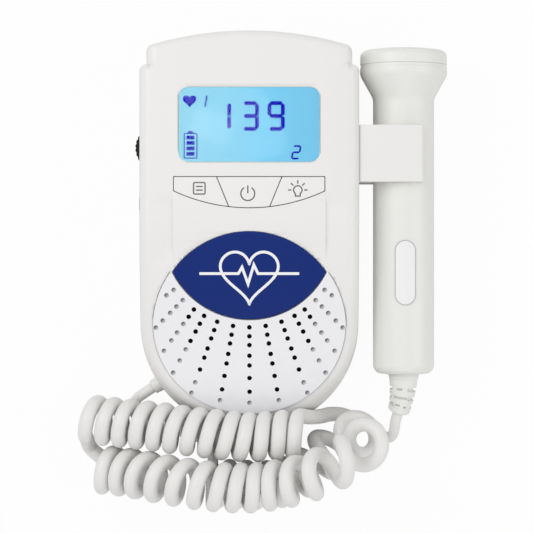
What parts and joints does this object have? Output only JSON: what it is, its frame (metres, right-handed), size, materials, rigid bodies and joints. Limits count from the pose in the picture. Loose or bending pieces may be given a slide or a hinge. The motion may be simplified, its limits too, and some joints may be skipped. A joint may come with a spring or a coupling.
{
  "type": "fetal doppler monitor",
  "caption": "Hand-held fetal doppler: display unit with speaker nose and press keys, tubular probe with bell head in a side clip, curly cord",
  "frame": {"origin": "middle of the housing's flat back face, which lies on the table", "axes": "+Z out of the display, +Y towards the display end, +X towards the probe"},
  "size_m": [0.1246, 0.161, 0.0416],
  "materials": {
    "shell_white": "fine satin moulding",
    "cover_white": "fine satin moulding",
    "badge_blue": "gloss",
    "window_clear": "clear acrylic",
    "lcd_blue": "lit display",
    "backlight_white": "diffuser",
    "black_plastic": "matt",
    "board_green": "solder mask",
    "speaker_steel": "plated",
    "cone_black": "coated paper",
    "wheel_black": "satin",
    "cord_pvc": "soft pvc",
    "cell_jacket": "printed jacket",
    "contact_nickel": "nickel plate",
    "screw_steel": "zinc plate",
    "probe_white": "satin moulding",
    "crystal_cream": "ceramic",
    "label_white": "matt film"
  },
  "bodies": {
    "unit": {"rear_housing": "shell_white", "front_housing": "shell_white", "speaker_cover": "cover_white", "badge": "badge_blue", "display_window": "window_clear", "lcd_panel": "lcd_blue", "lcd_backlight": "backlight_white", "tact_switches": "black_plastic", "main_board": "board_green", "speaker_frame": "speaker_steel", "speaker_cone": "cone_black", "volume_pot": "black_plastic", "headphone_jack": "black_plastic", "cord_grommet": "cord_pvc", "battery_cells": "cell_jacket", "battery_contacts": "contact_nickel", "housing_screws": "screw_steel", "probe_holder": "shell_white", "holder_screws": "screw_steel", "unit_lead": "cord_pvc", "curly_cord": "cord_pvc", "probe_lead": "cord_pvc"},
    "mode_key": {"mode_button": "shell_white"},
    "power_key": {"power_button": "shell_white"},
    "light_key": {"light_button": "shell_white"},
    "wheel": {"volume_wheel": "wheel_black"},
    "door": {"battery_door": "shell_white"},
    "probe": {"probe_head": "probe_white", "probe_face": "probe_white", "crystal_carrier": "black_plastic", "probe_crystals": "crystal_cream", "probe_handle": "probe_white", "probe_board": "board_green", "probe_end_cap": "probe_white", "probe_strain_relief": "cord_pvc", "probe_label": "label_white"}
  },
  "joints": [
    {"name": "mode_press", "type": "slide", "parent": "unit", "child": "mode_key", "axis": [0, 0, -1], "range_m": [0, 0.0008], "stiffness_N_per_m": 1500, "springref_m": -0.0002},
    {"name": "power_press", "type": "slide", "parent": "unit", "child": "power_key", "axis": [0, 0, -1], "range_m": [0, 0.0008], "stiffness_N_per_m": 1500, "springref_m": -0.0002},
    {"name": "light_press", "type": "slide", "parent": "unit", "child": "light_key", "axis": [0, 0, -1], "range_m": [0, 0.0008], "stiffness_N_per_m": 1500, "springref_m": -0.0002},
    {"name": "volume_turn", "type": "hinge", "parent": "unit", "child": "wheel", "pos_m": [-0.0308, 0.02875, 0], "axis": [0, 0, 1], "range_deg": [0, 270]},
    {"name": "battery_door_swing", "type": "hinge", "parent": "unit", "child": "door", "pos_m": [0, 0.0014, 0.0009], "axis": [-1, 0, 0], "range_deg": [0, 75]},
    {"name": "probe_slide", "type": "slide", "parent": "unit", "child": "probe", "axis": [0, 1, 0], "range_m": [0, 0.075]}
  ]
}
